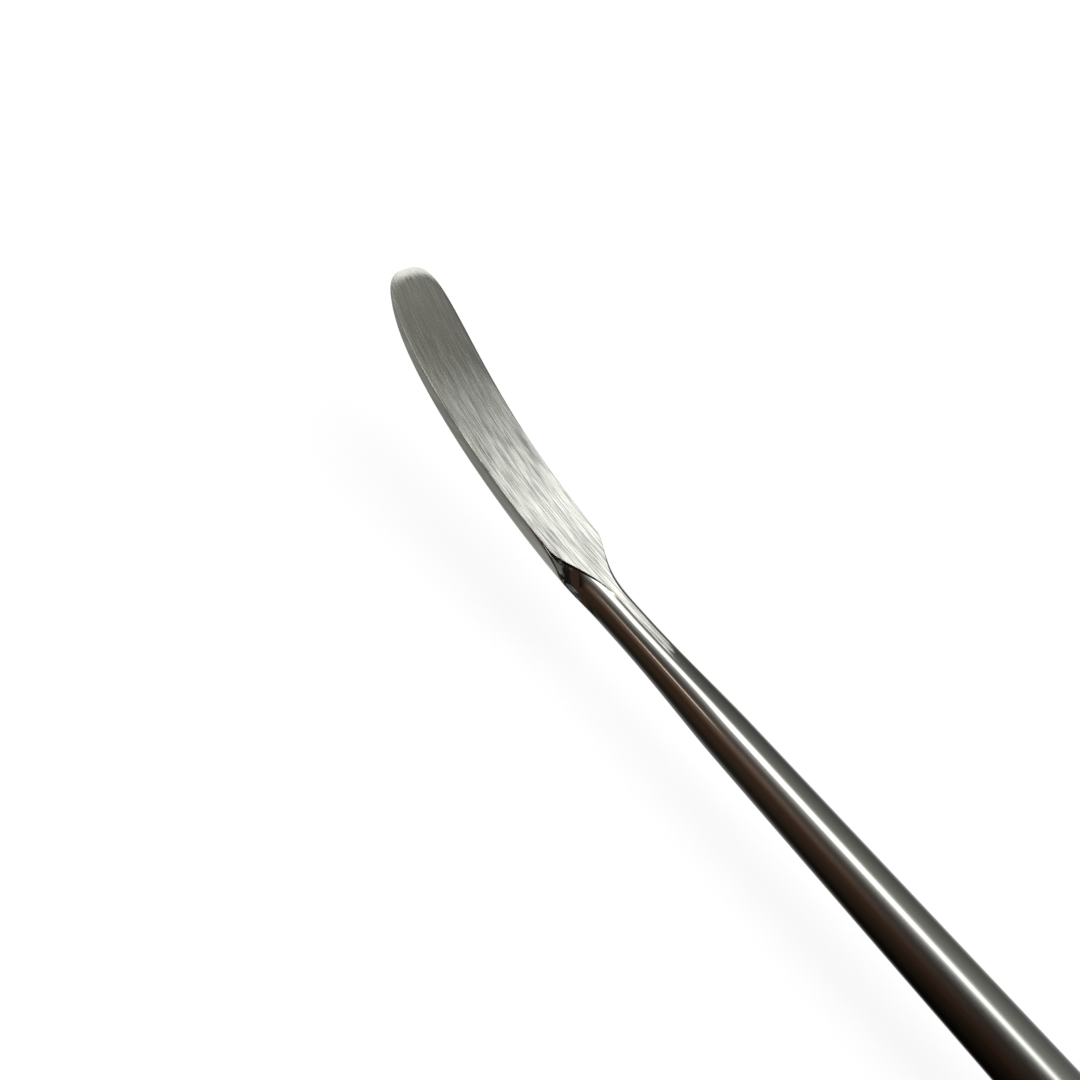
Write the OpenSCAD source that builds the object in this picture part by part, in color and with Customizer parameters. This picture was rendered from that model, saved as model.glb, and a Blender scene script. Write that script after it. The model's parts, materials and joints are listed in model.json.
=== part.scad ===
// Dental elevator with a spatula blade, a conical shank and a hollow octagonal handle.
// The instrument lies along X with its tip towards +X and its flat face up (+Z).
// Millimetres. The handle rests on the plane Z = 0, and X = 0 is halfway along the instrument.

/* [Blade] */
// Length of the blade from its shoulders to the tip
blade_len = 24.4; // [20:0.1:30]
// Width of the blade at its shoulders
blade_root_w = 5.7; // [4.8:0.1:6.6]
// Width that the sides would reach at the tip if it were cut square
blade_flare_w = 8.1; // [6.6:0.1:9]
// How late the sides spread: 1 is a straight taper
side_power = 2.8; // [1:0.1:4]
// Length of the rounded part of the tip
round_len = 17; // [8:0.5:18]
// Bluntness of the rounded tip: 2 is an ellipse
round_power = 3.1; // [2:0.1:3.5]
// Thickness of the blade at its shoulders
blade_root_t = 1.5; // [0.9:0.05:1.8]
// Thickness of the blade at its tip
blade_tip_t = 0.3; // [0.25:0.05:0.8]
// How late the blade thins: 1 is a straight taper, 0.5 a parabola
thin_power = 0.35; // [0.3:0.05:1]
// Extra depth of the crowned back
back_crown = 0.15; // [0:0.05:0.4]
// Height of the tip's face above the face at the neck
face_rise = 6.4; // [2:0.1:9]
// How late the blade bends up: 2 is a plain arc
bend_power = 2.5; // [1.8:0.1:3.5]
// Length of the bevel at the tip
bevel_len = 2; // [1:0.1:3]
// Depth of the bevel at the tip
bevel_drop = 0.1; // [0:0.02:0.14]

/* [Neck and shank] */
// Diameter of the neck at its narrowest
neck_d = 3.02; // [2.8:0.02:3.8]
// Height of the flat face above the axis at the neck
face_h = 1.46; // [1.2:0.02:1.48]
// Length over which the neck spreads into the blade
flare_len = 7.6; // [5:0.1:12]
// How late the neck spreads: 1 is an even curve
shoulder_skew = 1.8; // [1:0.1:2.4]
// The same for the back, which keeps the round of the bar for longer
back_skew = 3; // [1:0.1:4]
// Diameter that the round back swells towards at the heel of the blade
heel_d = 4.8; // [3.6:0.1:5.2]
// Length of the narrow tongue of the flat behind the neck
tongue_len = 4.3; // [3:0.1:8]
// Length over which the neck grows into the cone of the shank
neck_blend = 12.2; // [8:0.1:20]
// Diameter of the shank's cone carried forward to the neck
shank_front_d = 3.38; // [3:0.02:4]
// Diameter of the shank at the handle
shank_rear_d = 5.42; // [4.8:0.02:6.4]
// Length from the neck to the handle
shank_len = 54; // [35:1:75]

/* [Tang and fasteners] */
// Depth of the shank's seat in the ferrule
seat_len = 3; // [2:0.5:5]
// Diameter of the tang
tang_d = 4; // [3:0.1:4.2]
// Thickness of the washer
washer_t = 0.8; // [0.5:0.1:1.2]
// Outer diameter of the washer
washer_d = 8; // [7.4:0.1:8.6]
// Nut size across flats
nut_af = 7; // [6:0.1:7.4]
// Thickness of the nut
nut_t = 3.2; // [2.4:0.1:5]
// Tang left standing behind the nut
tang_spare = 1.5; // [0.5:0.1:3]
// Diameter of the lock pin
pin_d = 1.5; // [1:0.1:2]

/* [Handle] */
// Handle size across its flats
handle_af = 12; // [11.6:0.1:16]
// Length of the handle tube
handle_len = 75; // [65:1:110]
// Bore of the handle tube
bore_d = 9.2; // [8.8:0.1:9.6]
// Diameter of the round mouths of the tube
mouth_d = 11.4; // [10.8:0.1:11.5]
// Length over which the flats run out at each mouth
runout_len = 4; // [3:0.5:8]
// Length of the ferrule's nose
nose_len = 9; // [6:0.5:16]
// Diameter of the nose at the shank
nose_front_d = 7.2; // [7:0.1:8.4]
// Length of the ferrule's spigot in the tube
spigot_len = 14; // [10:0.5:20]
// Length of the domed end cap
cap_len = 5; // [3:0.5:10]
// Length of the end cap's spigot in the tube
cap_spigot_len = 8; // [6:0.5:16]

/* [Rings and seals] */
// Number of grip rings
ring_count = 5; // [1:1:6]
// Width of a grip ring
ring_w = 2.4; // [1.4:0.1:3]
// Distance from one grip ring to the next
ring_pitch = 5.5; // [4:0.1:7]
// Distance from the tube's front to the first grip ring
ring_start = 9; // [7:0.5:12]
// Depth of the ring grooves below the flats
ring_groove = 0.8; // [0.4:0.05:0.85]
// How far a ring stays below the flats
ring_inset = 0.1; // [0.05:0.05:0.3]
// Width of the marking ring
id_ring_w = 3.5; // [2:0.1:6]
// Distance from the tube's rear end to the marking ring
id_ring_start = 9; // [8:0.5:14]
// Thickness of the O-ring cord
seal_t = 1; // [0.8:0.05:1.2]
// Gap left between pieces that fit each other
fit_gap = 0.03; // [0.02:0.01:0.05]

/* [Hidden] */
$fn = 96;

// Stations along the axis, counted from the blade's shoulders
x_tip = blade_len;
x_neck = -flare_len;
x_tongue = x_neck - tongue_len;
x_nose = x_neck - shank_len;
x_tube = x_nose - nose_len;
x_cap = x_tube - handle_len;
x_end = x_cap - cap_len;
x_seat = x_nose - seat_len;
x_ferrule_back = x_tube - spigot_len;
x_washer_back = x_ferrule_back - washer_t;
x_nut_back = x_washer_back - nut_t;
x_tang_end = x_nut_back - tang_spare;
x_middle = (x_tip + x_end) / 2;
x_ferrule_seal = x_tube - 2 * seal_t;
x_end_seal = x_cap + 2 * seal_t;
x_pin = (x_ferrule_seal + x_ferrule_back) / 2;

face_len = blade_len + flare_len;
neck_r = neck_d / 2;
heel_r = heel_d / 2;
shank_front_r = shank_front_d / 2;
shank_slope = (shank_rear_d - shank_front_d) / 2 / shank_len;
spigot_d = bore_d - 2 * fit_gap;
ring_outer_d = handle_af - 2 * ring_inset;
ring_inner_d = handle_af - 2 * ring_groove;

// How far a cut runs past the surface that it opens
over = 1;
// How far the turned run-outs stay outside the corners of the octagon
corner_clear = 0.1;
// Facets round the cord of an O-ring
cord_facets = 32;

// Loft of the blade and neck
min_half_w = 0.05;
side_steps = 5;
back_steps = 9;
back_square = 3.5;
lap_len = 1;
lap_shrink = 0.985;

function clamp01(t) = max(0, min(1, t));
function ease(t) = t * t * (3 - 2 * t);
function mix(a, b, t) = a + (b - a) * t;

// Radius of the round bar at a distance behind the narrowest point of the neck
function bar_r(behind) =
    mix(neck_r, shank_front_r + shank_slope * behind, ease(clamp01(behind / neck_blend)));

// Height of the flat face above the axis
function face_bevel(x) = bevel_drop * pow(clamp01((x - x_tip + bevel_len) / bevel_len), 2);
function face_z(x) =
    x < x_neck
        ? mix(face_h, bar_r(tongue_len), pow((x_neck - x) / tongue_len, 2))
        : face_h + face_rise * pow((x - x_neck) / face_len, bend_power) - face_bevel(x);

// Half the width of the blade, rounded at the tip
function tip_round(x) =
    let (q = clamp01((x - x_tip + round_len) / round_len))
    pow(1 - pow(q, round_power), 1 / round_power);
function blade_half_w(x) =
    let (along = clamp01(x / blade_len))
    max(min_half_w, mix(blade_root_w, blade_flare_w, pow(along, side_power)) / 2 * tip_round(x));
function blade_t(x) =
    mix(blade_tip_t, blade_root_t, pow(1 - clamp01(x / blade_len), thin_power));

// How far x is along the flare: 0 in the neck, 1 from the shoulders on, reached late if skewed
function flare_share(x, skew) = ease(pow(clamp01((x - x_neck) / flare_len), skew));

// Share of the blade in the section at x, later for points nearer the middle of the back
function blade_share(x, k) =
    flare_share(x, mix(shoulder_skew, back_skew, k / (side_steps + back_steps)));

// How far the round back swells from the neck towards the heel
function heel_swell(x, k) =
    (heel_r - neck_r) * flare_share(x, shoulder_skew) * k / (side_steps + back_steps);

// Points on one side of a section, from the edge of the face round to the middle of the back
function bar_point(x, k) =
    let (
        behind = max(0, x_neck - x),
        r = bar_r(behind) * (x < x_tongue ? lap_shrink : 1),
        lift = x < x_neck ? 0 : face_z(x) - face_h,
        edge = max(asin(min_half_w / r), acos(min(1, (face_z(x) - lift) / r))),
        angle = k < side_steps
            ? mix(edge, 90, k / side_steps)
            : mix(90, 180, (k - side_steps) / back_steps),
        reach = r + heel_swell(x, k)
    )
    [reach * sin(angle), lift + reach * cos(angle)];
function blade_point(x, k) =
    let (
        w = blade_half_w(x),
        t = blade_t(x),
        turn = 90 * max(0, k - side_steps) / back_steps,
        down = t / 2 * min(1, k / side_steps) + (t / 2 + back_crown) * pow(sin(turn), 2 / back_square)
    )
    [w * pow(max(0, cos(turn)), 2 / back_square), face_z(x) - down];
function side_point(x, k) = mix(bar_point(x, k), blade_point(x, k), blade_share(x, k));

function section(x) =
    let (last = side_steps + back_steps, half = [for (k = [0:last]) side_point(x, k)])
    concat(
        [for (p = half) [x, p[0], p[1]]],
        [for (k = [last - 1:-1:0]) [x, -half[k][0], half[k][1]]]
    );

loft_stations = concat(
    [x_tongue - lap_len, x_tongue - lap_len / 4],
    [for (i = [1:8]) mix(x_tongue, x_neck, i / 8)],
    [for (i = [1:16]) mix(x_neck, 0, i / 16)],
    [for (i = [1:8]) mix(0, x_tip - round_len, i / 8)],
    [for (i = [1:20]) x_tip - round_len * (1 - sin(90 * i / 20))]
);

// Skin over a row of equal rings of points, closed by a fan round the middle of each end
function middle(ring) = (ring[0] + ring[side_steps + back_steps]) / 2;

module loft(rings) {
    n = len(rings[0]);
    last = len(rings) - 1;
    points = concat([for (ring = rings) for (p = ring) p], [middle(rings[0]), middle(rings[last])]);
    first_middle = n * (last + 1);
    sides = [
        for (i = [0:last - 1]) for (j = [0:n - 1])
            let (a = i * n + j, b = i * n + (j + 1) % n)
            each [[a, b, b + n], [a, b + n, a + n]]
    ];
    first_cap = [for (j = [0:n - 1]) [(j + 1) % n, j, first_middle]];
    last_cap = [for (j = [0:n - 1]) [last * n + j, last * n + (j + 1) % n, first_middle + 1]];
    polyhedron(points, concat(sides, first_cap, last_cap), convexity = 4);
}

// Solid of revolution about the X axis from [x, radius] points
module turned(profile) {
    rotate([0, 90, 0])
        rotate_extrude()
            polygon([for (p = profile) [p[1], p[0]]]);
}

module rod(x_back, x_front, d) {
    translate([x_back, 0, 0])
        rotate([0, 90, 0])
            cylinder(d = d, h = x_front - x_back);
}

// Bar with flats above and below, measured across its flats
module flat_bar(x_back, x_front, across, sides) {
    translate([x_back, 0, 0])
        rotate([0, 90, 0])
            rotate([0, 0, 180 / sides])
                cylinder(d = across / cos(180 / sides), h = x_front - x_back, $fn = sides);
}

module ring_band(x_back, x_front, inner_d, outer_d) {
    turned([
        [x_back, inner_d / 2],
        [x_back, outer_d / 2],
        [x_front, outer_d / 2],
        [x_front, inner_d / 2]
    ]);
}

module o_ring(x_centre, inner_d) {
    rotate([0, 90, 0])
        rotate_extrude()
            translate([inner_d / 2 + seal_t / 2, x_centre])
                circle(d = seal_t - 2 * fit_gap, $fn = cord_facets);
}

// Groove for an O-ring round a spigot
module seal_groove(x_centre) {
    ring_band(x_centre - seal_t / 2, x_centre + seal_t / 2, bore_d - 2 * seal_t, bore_d + over);
}

module cross_pin(d, len) {
    translate([x_pin, 0, 0])
        cylinder(d = d, h = len, center = true);
}

// Puts the finished piece on its resting plane, centred along its length
module place() {
    translate([-x_middle, 0, handle_af / 2])
        children();
}

// Blade, neck, shank and tang in one piece
module working_end() {
    color("silver")
        place()
            difference() {
                union() {
                    loft([for (x = loft_stations) section(x)]);
                    shank();
                }
                cross_pin(pin_d + 2 * fit_gap, 2 * tang_d);
            }
}

module shank() {
    steps = 24;
    cone = [for (i = [0:steps]) let (x = mix(x_tongue, x_nose, i / steps)) [x, bar_r(x_neck - x)]];
    turned(concat(
        [[x_tongue, 0]],
        cone,
        [
            [x_seat, shank_rear_d / 2],
            [x_seat, tang_d / 2],
            [x_tang_end, tang_d / 2],
            [x_tang_end, 0]
        ]
    ));
}

// Front plug of the handle, with the socket for the shank
module nose_ferrule() {
    steps = 12;
    nose = [
        for (i = [0:steps])
            let (turn = 90 * i / steps)
            [
                x_nose - nose_len * (1 - cos(turn)),
                mix(nose_front_d, mouth_d, sin(turn)) / 2
            ]
    ];
    color("gainsboro")
        place()
            difference() {
                turned(concat(
                    [[x_nose, 0]],
                    nose,
                    [[x_tube, spigot_d / 2], [x_ferrule_back, spigot_d / 2], [x_ferrule_back, 0]]
                ));
                rod(x_seat, x_nose + over, shank_rear_d + 2 * fit_gap);
                rod(x_ferrule_back - over, x_nose, tang_d + 2 * fit_gap);
                rod(x_seat - seal_t, x_seat + fit_gap, tang_d + 2 * seal_t);
                seal_groove(x_ferrule_seal);
                cross_pin(pin_d + 2 * fit_gap, 2 * bore_d);
            }
}

module nose_seal() {
    color("black")
        place()
            o_ring(x_seat - seal_t / 2, tang_d);
}

module lock_pin() {
    color("gray")
        place()
            cross_pin(pin_d, spigot_d - 4 * fit_gap);
}

module lock_washer() {
    color("silver")
        place()
            ring_band(x_washer_back, x_ferrule_back, tang_d + 2 * fit_gap, washer_d);
}

module tang_nut() {
    color("gray")
        place()
            difference() {
                flat_bar(x_nut_back, x_washer_back, nut_af, 6);
                rod(x_nut_back - over, x_washer_back + over, tang_d + 2 * fit_gap);
            }
}

module ferrule_seal() {
    color("black")
        place()
            o_ring(x_ferrule_seal, bore_d - 2 * seal_t);
}

// Hollow octagonal handle, its flats running out into round mouths
module handle_tube() {
    corner_r = handle_af / 2 / cos(22.5) + corner_clear;
    color("lightgray")
        place()
            difference() {
                intersection() {
                    flat_bar(x_cap, x_tube, handle_af, 8);
                    turned([
                        [x_tube, 0],
                        [x_tube, mouth_d / 2],
                        [x_tube - runout_len, corner_r],
                        [x_cap + runout_len, corner_r],
                        [x_cap, mouth_d / 2],
                        [x_cap, 0]
                    ]);
                }
                rod(x_cap - over, x_tube + over, bore_d);
                for (i = [1:ring_count])
                    ring_band(ring_x(i) - ring_w, ring_x(i), ring_inner_d, 2 * corner_r + over);
                ring_band(x_id_ring, x_id_ring + id_ring_w, ring_inner_d, 2 * corner_r + over);
            }
}

// Front edge of each grip ring, and rear edge of the marking ring
function ring_x(i) = x_tube - ring_start - (i - 1) * ring_pitch;
x_id_ring = x_cap + id_ring_start;

module soft_ring(x_back, x_front) {
    ring_band(x_back + fit_gap, x_front - fit_gap, ring_inner_d, ring_outer_d);
}

module grip_ring(i) {
    color("dimgray")
        place()
            soft_ring(ring_x(i) - ring_w, ring_x(i));
}

module id_ring() {
    color("steelblue")
        place()
            soft_ring(x_id_ring, x_id_ring + id_ring_w);
}

// Domed plug at the rear of the handle
module end_cap() {
    steps = 16;
    dome = [
        for (i = [0:steps])
            let (turn = 90 * i / steps)
            [x_cap - cap_len * sin(turn), mouth_d / 2 * cos(turn)]
    ];
    x_spigot = x_cap + cap_spigot_len;
    color("gainsboro")
        place()
            difference() {
                turned(concat(
                    [[x_spigot, 0], [x_spigot, spigot_d / 2], [x_cap, spigot_d / 2]],
                    dome
                ));
                seal_groove(x_end_seal);
            }
}

module end_seal() {
    color("black")
        place()
            o_ring(x_end_seal, bore_d - 2 * seal_t);
}

working_end();
nose_ferrule();
nose_seal();
lock_pin();
lock_washer();
tang_nut();
ferrule_seal();
handle_tube();
id_ring();
end_cap();
end_seal();
for (i = [1:ring_count])
    grip_ring(i);
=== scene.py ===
"""Looks of a dental elevator: brushed blade, polished shank and satin octagonal handle.

Everything is in metres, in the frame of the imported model: the tip points to +X, the flat
face of the blade is up, and the handle lies on the plane z = 0.
"""

import json
import math

import bpy
import numpy as np
from mathutils import Matrix, Vector


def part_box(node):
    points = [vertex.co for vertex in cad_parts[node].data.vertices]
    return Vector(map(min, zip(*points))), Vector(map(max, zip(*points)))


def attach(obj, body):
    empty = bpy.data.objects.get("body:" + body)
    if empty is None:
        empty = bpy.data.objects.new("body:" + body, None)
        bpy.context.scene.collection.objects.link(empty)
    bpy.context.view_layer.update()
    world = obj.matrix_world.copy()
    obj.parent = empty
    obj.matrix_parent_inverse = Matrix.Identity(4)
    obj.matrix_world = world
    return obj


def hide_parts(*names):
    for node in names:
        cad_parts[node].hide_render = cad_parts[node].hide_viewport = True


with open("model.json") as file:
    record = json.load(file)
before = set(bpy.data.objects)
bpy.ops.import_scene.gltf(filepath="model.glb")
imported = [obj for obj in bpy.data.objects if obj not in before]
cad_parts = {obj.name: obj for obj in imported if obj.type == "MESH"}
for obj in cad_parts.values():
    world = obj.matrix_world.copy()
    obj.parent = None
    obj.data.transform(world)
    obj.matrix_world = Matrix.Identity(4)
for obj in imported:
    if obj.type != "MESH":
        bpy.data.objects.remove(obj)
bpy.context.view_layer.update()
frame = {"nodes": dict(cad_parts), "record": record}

MM = 0.001

# ------------ sizes of the instrument

BLADE_LEN = 24.4 * MM
BLADE_ROOT_W = 5.7 * MM
BLADE_FLARE_W = 8.1 * MM
SIDE_POWER = 2.8
ROUND_LEN = 17 * MM
ROUND_POWER = 3.2
BLADE_ROOT_T = 1.46 * MM
BLADE_TIP_T = 0.42 * MM
THIN_POWER = 0.35
BACK_CROWN = 0.15 * MM
BACK_SQUARE = 3.5
FACE_RISE = 6.4 * MM
BEND_POWER = 2.5
BEVEL_LEN = 2 * MM
BEVEL_DROP = 0.13 * MM
MIN_HALF_W = 0.05 * MM
# The back is ground to this thickness at the very tip, and gains this much per length
TIP_EDGE = 0.12 * MM
TIP_SLOPE = 0.23
GROUND_BLEND = 6

NECK_R = 1.51 * MM
HEEL_R = 2.4 * MM
FACE_H = 1.46 * MM
FLARE_LEN = 7.6 * MM
SHOULDER_SKEW = 1.8
BACK_SKEW = 3
TONGUE_LEN = 4.3 * MM
NECK_BLEND = 12.2 * MM
SHANK_FRONT_R = 1.69 * MM
SHANK_REAR_R = 2.71 * MM
SHANK_LEN = 54 * MM
SEAT_LEN = 3 * MM
TANG_R = 2 * MM


def x_span(node):
    """Rear and front end of a node."""
    low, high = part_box(node)
    return low[0], high[0]


tang_x, tip_x = x_span("working_end")
x_cap, x_tube = x_span("handle_tube")
handle_low, handle_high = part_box("handle_tube")
axis_z = (handle_low[2] + handle_high[2]) / 2

x_shoulders = tip_x - BLADE_LEN
x_neck = x_shoulders - FLARE_LEN
x_tongue = x_neck - TONGUE_LEN
x_nose = x_neck - SHANK_LEN
x_seat = x_nose - SEAT_LEN


# ------------ plain maths

def clamp01(t):
    return np.clip(t, 0, 1)


def ease(t):
    return t * t * (3 - 2 * t)


def mix(a, b, t):
    return a + (b - a) * t


# ------------ form of the working end

# A section is followed by k: 0 at the edge of the face, SIDE_STEPS at the foot of the wall,
# LAST at the middle of the back
SIDE_STEPS = 5
BACK_STEPS = 9
LAST = SIDE_STEPS + BACK_STEPS
BACK_START = 7
# Where the crease of the wall lies, from the shoulders, for points down the wall
CREASE_K = (0, 2.1, 4.9, 6, 7.2, 9)
CREASE_X = np.array((0.8, -0.6, -1.9, -2.5, -2.9, -3.2)) * MM
# How suddenly the wall ends there: on the wall, and three steps round the back
CREASE_POWER = (9.0, 3.4)
CREASE_SHARP = 5
# The scoop under the face: share of the wall's first step in the neck and at the shoulders
LIP = (0.4, 0.7)
LIP_START = 3 * MM
LIP_LEN = 3 * MM


def bar_radius(x):
    """Radius of the round bar: narrowest at the neck, then a slow cone towards the handle."""
    behind = np.maximum(0, x_neck - x)
    slope = (SHANK_REAR_R - SHANK_FRONT_R) / SHANK_LEN
    return mix(NECK_R, SHANK_FRONT_R + slope * behind, ease(clamp01(behind / NECK_BLEND)))


def face_height(x):
    """Height of the flat face above the axis."""
    along = clamp01((x - x_neck) / (BLADE_LEN + FLARE_LEN))
    bevel = BEVEL_DROP * clamp01((x - tip_x + BEVEL_LEN) / BEVEL_LEN) ** 2
    blade = FACE_H + FACE_RISE * along ** BEND_POWER - bevel
    tongue = mix(FACE_H, bar_radius(x_tongue), ((x_neck - x) / TONGUE_LEN) ** 2)
    return np.where(x < x_neck, tongue, blade)


def blade_half_width(x):
    """Half the blade's width: it spreads towards the tip, which is rounded off."""
    along = clamp01((x - x_shoulders) / BLADE_LEN)
    q = clamp01((x - tip_x + ROUND_LEN) / ROUND_LEN)
    rounding = (1 - q ** ROUND_POWER) ** (1 / ROUND_POWER)
    width = mix(BLADE_ROOT_W, BLADE_FLARE_W, along ** SIDE_POWER)
    return np.maximum(MIN_HALF_W, width / 2 * rounding)


def blade_thickness(x):
    """Thin at the tip and soon thicker behind it; the tip itself is ground down at a slope."""
    left = 1 - clamp01((x - x_shoulders) / BLADE_LEN)
    even = mix(BLADE_TIP_T, BLADE_ROOT_T, left ** THIN_POWER)
    ground = TIP_EDGE + TIP_SLOPE * np.maximum(0, tip_x - x)
    return (even ** -GROUND_BLEND + ground ** -GROUND_BLEND) ** (-1 / GROUND_BLEND)


def flare_share(x, skew):
    """How far x is along the flare: 0 in the neck, 1 from the shoulders on."""
    return ease(clamp01((x - x_neck) / FLARE_LEN) ** skew)


def wall_share(x, k):
    """Share of the blade in point k of the ground side.

    Its wall ends in a crease that runs down and back; a scoop rises from the crease to the face.
    """
    even = flare_share(x, mix(SHOULDER_SKEW, BACK_SKEW, k / LAST))
    crease_x = x_shoulders + np.interp(k, CREASE_K, CREASE_X)
    power = np.interp(k, (SIDE_STEPS, SIDE_STEPS + 3), CREASE_POWER)
    reach = np.maximum(0.001, (x - x_neck) / (crease_x - x_neck)) ** power
    creased = reach / (1 + reach ** CREASE_SHARP) ** (1 / CREASE_SHARP)
    lip = mix(*LIP, ease(clamp01((x - x_neck - LIP_START) / LIP_LEN)))
    scoop = mix(flare_share(x, SHOULDER_SKEW), creased, clamp01(k / lip))
    return mix(scoop, even, ease(clamp01((k - BACK_START) / (LAST - BACK_START))))


def side_point(x, k, ground=False):
    """Point k of a section at x, from the edge of the face (0) to the middle of the back (LAST)."""
    radius = bar_radius(x)
    height = face_height(x)
    lift = np.where(x < x_neck, 0, height - FACE_H)
    edge = np.arccos(np.clip((height - lift) / radius, -1, 1))
    edge = np.maximum(np.arcsin(MIN_HALF_W / radius), edge)
    on_side = clamp01(k / SIDE_STEPS)
    on_back = clamp01((k - SIDE_STEPS) / BACK_STEPS)
    angle = mix(edge, math.pi / 2, on_side) + math.pi / 2 * on_back
    reach = radius + (HEEL_R - NECK_R) * flare_share(x, SHOULDER_SKEW) * k / LAST
    bar_y = reach * np.sin(angle)
    bar_z = lift + reach * np.cos(angle)

    turn = math.pi / 2 * on_back
    half_t = blade_thickness(x) / 2
    down = half_t * on_side + (half_t + BACK_CROWN) * np.sin(turn) ** (2 / BACK_SQUARE)
    blade_y = blade_half_width(x) * np.maximum(0, np.cos(turn)) ** (2 / BACK_SQUARE)
    blade_z = height - down

    share = flare_share(x, mix(SHOULDER_SKEW, BACK_SKEW, k / LAST))
    if ground:
        share = wall_share(x, k)
    return mix(bar_y, blade_y, share), mix(bar_z, blade_z, share)


# ------------ meshes

def mesh_piece(name, points, faces, smooth=True):
    """A mesh object from points and faces."""
    mesh = bpy.data.meshes.new(name)
    mesh.from_pydata([tuple(p) for p in points], [], faces)
    mesh.update()
    if smooth:
        mesh.polygons.foreach_set("use_smooth", [True] * len(mesh.polygons))
    piece = bpy.data.objects.new(name, mesh)
    bpy.context.collection.objects.link(piece)
    return piece


def point_attribute(piece, name, values):
    """Stores one number for each point of the piece."""
    attribute = piece.data.attributes.new(name, "FLOAT", "POINT")
    attribute.data.foreach_set("value", np.asarray(values, dtype=np.float32))


def grid_faces(rows, columns):
    """Quads between rows of points, where each row is a closed ring."""
    faces = []
    for i in range(rows - 1):
        for j in range(columns):
            a = i * columns + j
            b = i * columns + (j + 1) % columns
            faces.append((a, b, b + columns, a + columns))
    return faces


FACE_COLUMNS = 7
ROLL_COLUMNS = 8
WALL_COLUMNS = 24
BACK_COLUMNS = 56
# Smallest roll that is divided by
NO_ROLL = 0.001 * MM
# The face's rolled border (width, depth): at the shoulders, halfway along and at the worn tip
ROLL_CRISP = (0.08 * MM, 0.02 * MM)
ROLL_SOFT = (0.32 * MM, 0.06 * MM)
ROLL_WORN = (1.2 * MM, 0.09 * MM)
SOFT_START = 8 * MM
SOFT_LEN = 10 * MM
WORN_LEN = 2.6 * MM
# The wall's rolled top reaches down this far, on the blade and at the shoulders
WALL_ROLL = (0.02 * MM, 0.30 * MM)
WALL_ROLL_LEN = 4 * MM
ROLL_INSET = 0.3
# The wall bulges in its middle by this much
WALL_CROWN = 0.02 * MM
# Behind the tongue the columns of the face fan out by this angle over this length
FAN = math.radians(14)
FAN_LEN = 6 * MM
SHANK_FRONT_LEN = 12 * MM
# Bevel on the rear edges of shank and tang
EDGE_ROUND = 0.3 * MM


def tip_wear(x):
    """0 on the blade, 1 at the tip."""
    return ease(clamp01((x - tip_x + WORN_LEN) / WORN_LEN))


def face_roll(x):
    """Width and depth of the rolled border of the face: crisp at the shoulders, worn at the tip."""
    soft = ease(clamp01((x - x_shoulders - SOFT_START) / SOFT_LEN))
    width, depth = (
        mix(mix(crisp, softer, soft), worn, tip_wear(x)) * flare_share(x, 1)
        for crisp, softer, worn in zip(ROLL_CRISP, ROLL_SOFT, ROLL_WORN)
    )
    return np.maximum(width, NO_ROLL), depth


def wall_roll(x):
    """How far the rolled top of the wall reaches down the wall: more at the shoulders."""
    near = 1 - ease(clamp01((x - x_shoulders) / WALL_ROLL_LEN))
    return mix(*WALL_ROLL, near) * flare_share(x, 1)


def outline_distance(x, y, line_x, line_y):
    """Distance of points in plan from a line of points."""
    distance = np.full(x.shape, 1.0)
    for i in range(len(line_x) - 1):
        dx = line_x[i + 1] - line_x[i]
        dy = line_y[i + 1] - line_y[i]
        length = dx * dx + dy * dy
        t = clamp01(((x - line_x[i]) * dx + (y - line_y[i]) * dy) / length)
        gap = np.hypot(x - line_x[i] - t * dx, y - line_y[i] - t * dy)
        distance = np.minimum(distance, gap)
    return distance


def face_points(x, edge_y, edge_z, edge_angle):
    """Columns over one half of the face, crowded along its rolled border."""
    width, depth = face_roll(x)
    slope = np.abs(np.gradient(edge_y[:, 0], x[:, 0]))[:, None]
    border = np.maximum(width * np.sqrt(1 + slope ** 2), 0.25 * edge_y * (1 - flare_share(x, 1)))
    border = np.minimum(border, 0.5 * edge_y)
    flat_steps = np.linspace(0, 1, FACE_COLUMNS)[None, :-1]
    roll_steps = 1 - (1 - np.linspace(0, 1, ROLL_COLUMNS)[None, :]) ** 2
    y = np.concatenate([
        flat_steps * (edge_y - border),
        edge_y - border * (1 - roll_steps),
    ], axis=1)
    grid_x = np.broadcast_to(x, y.shape)
    line_x = np.append(x[:, 0], tip_x)
    line_y = np.append(edge_y[:, 0], 0)
    order = np.argsort(line_x, kind="stable")
    on_blade = order[line_x[order] > x_neck - 1 * MM]
    inside = outline_distance(grid_x, y, line_x[on_blade], line_y[on_blade])
    z = edge_z - depth * clamp01(1 - inside / width) ** 2
    y = y * (1 - ROLL_INSET * wall_roll(x) / edge_y)
    # Behind the tongue the columns lie on the round bar and fan out
    bar = bar_radius(x)
    share = y / np.maximum(edge_y, 1e-9)
    on_bar = x < x_tongue
    y = np.where(on_bar, bar * np.sin(edge_angle * share), y)
    z = np.where(on_bar, bar * np.cos(edge_angle * share), z)
    return y, z


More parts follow.
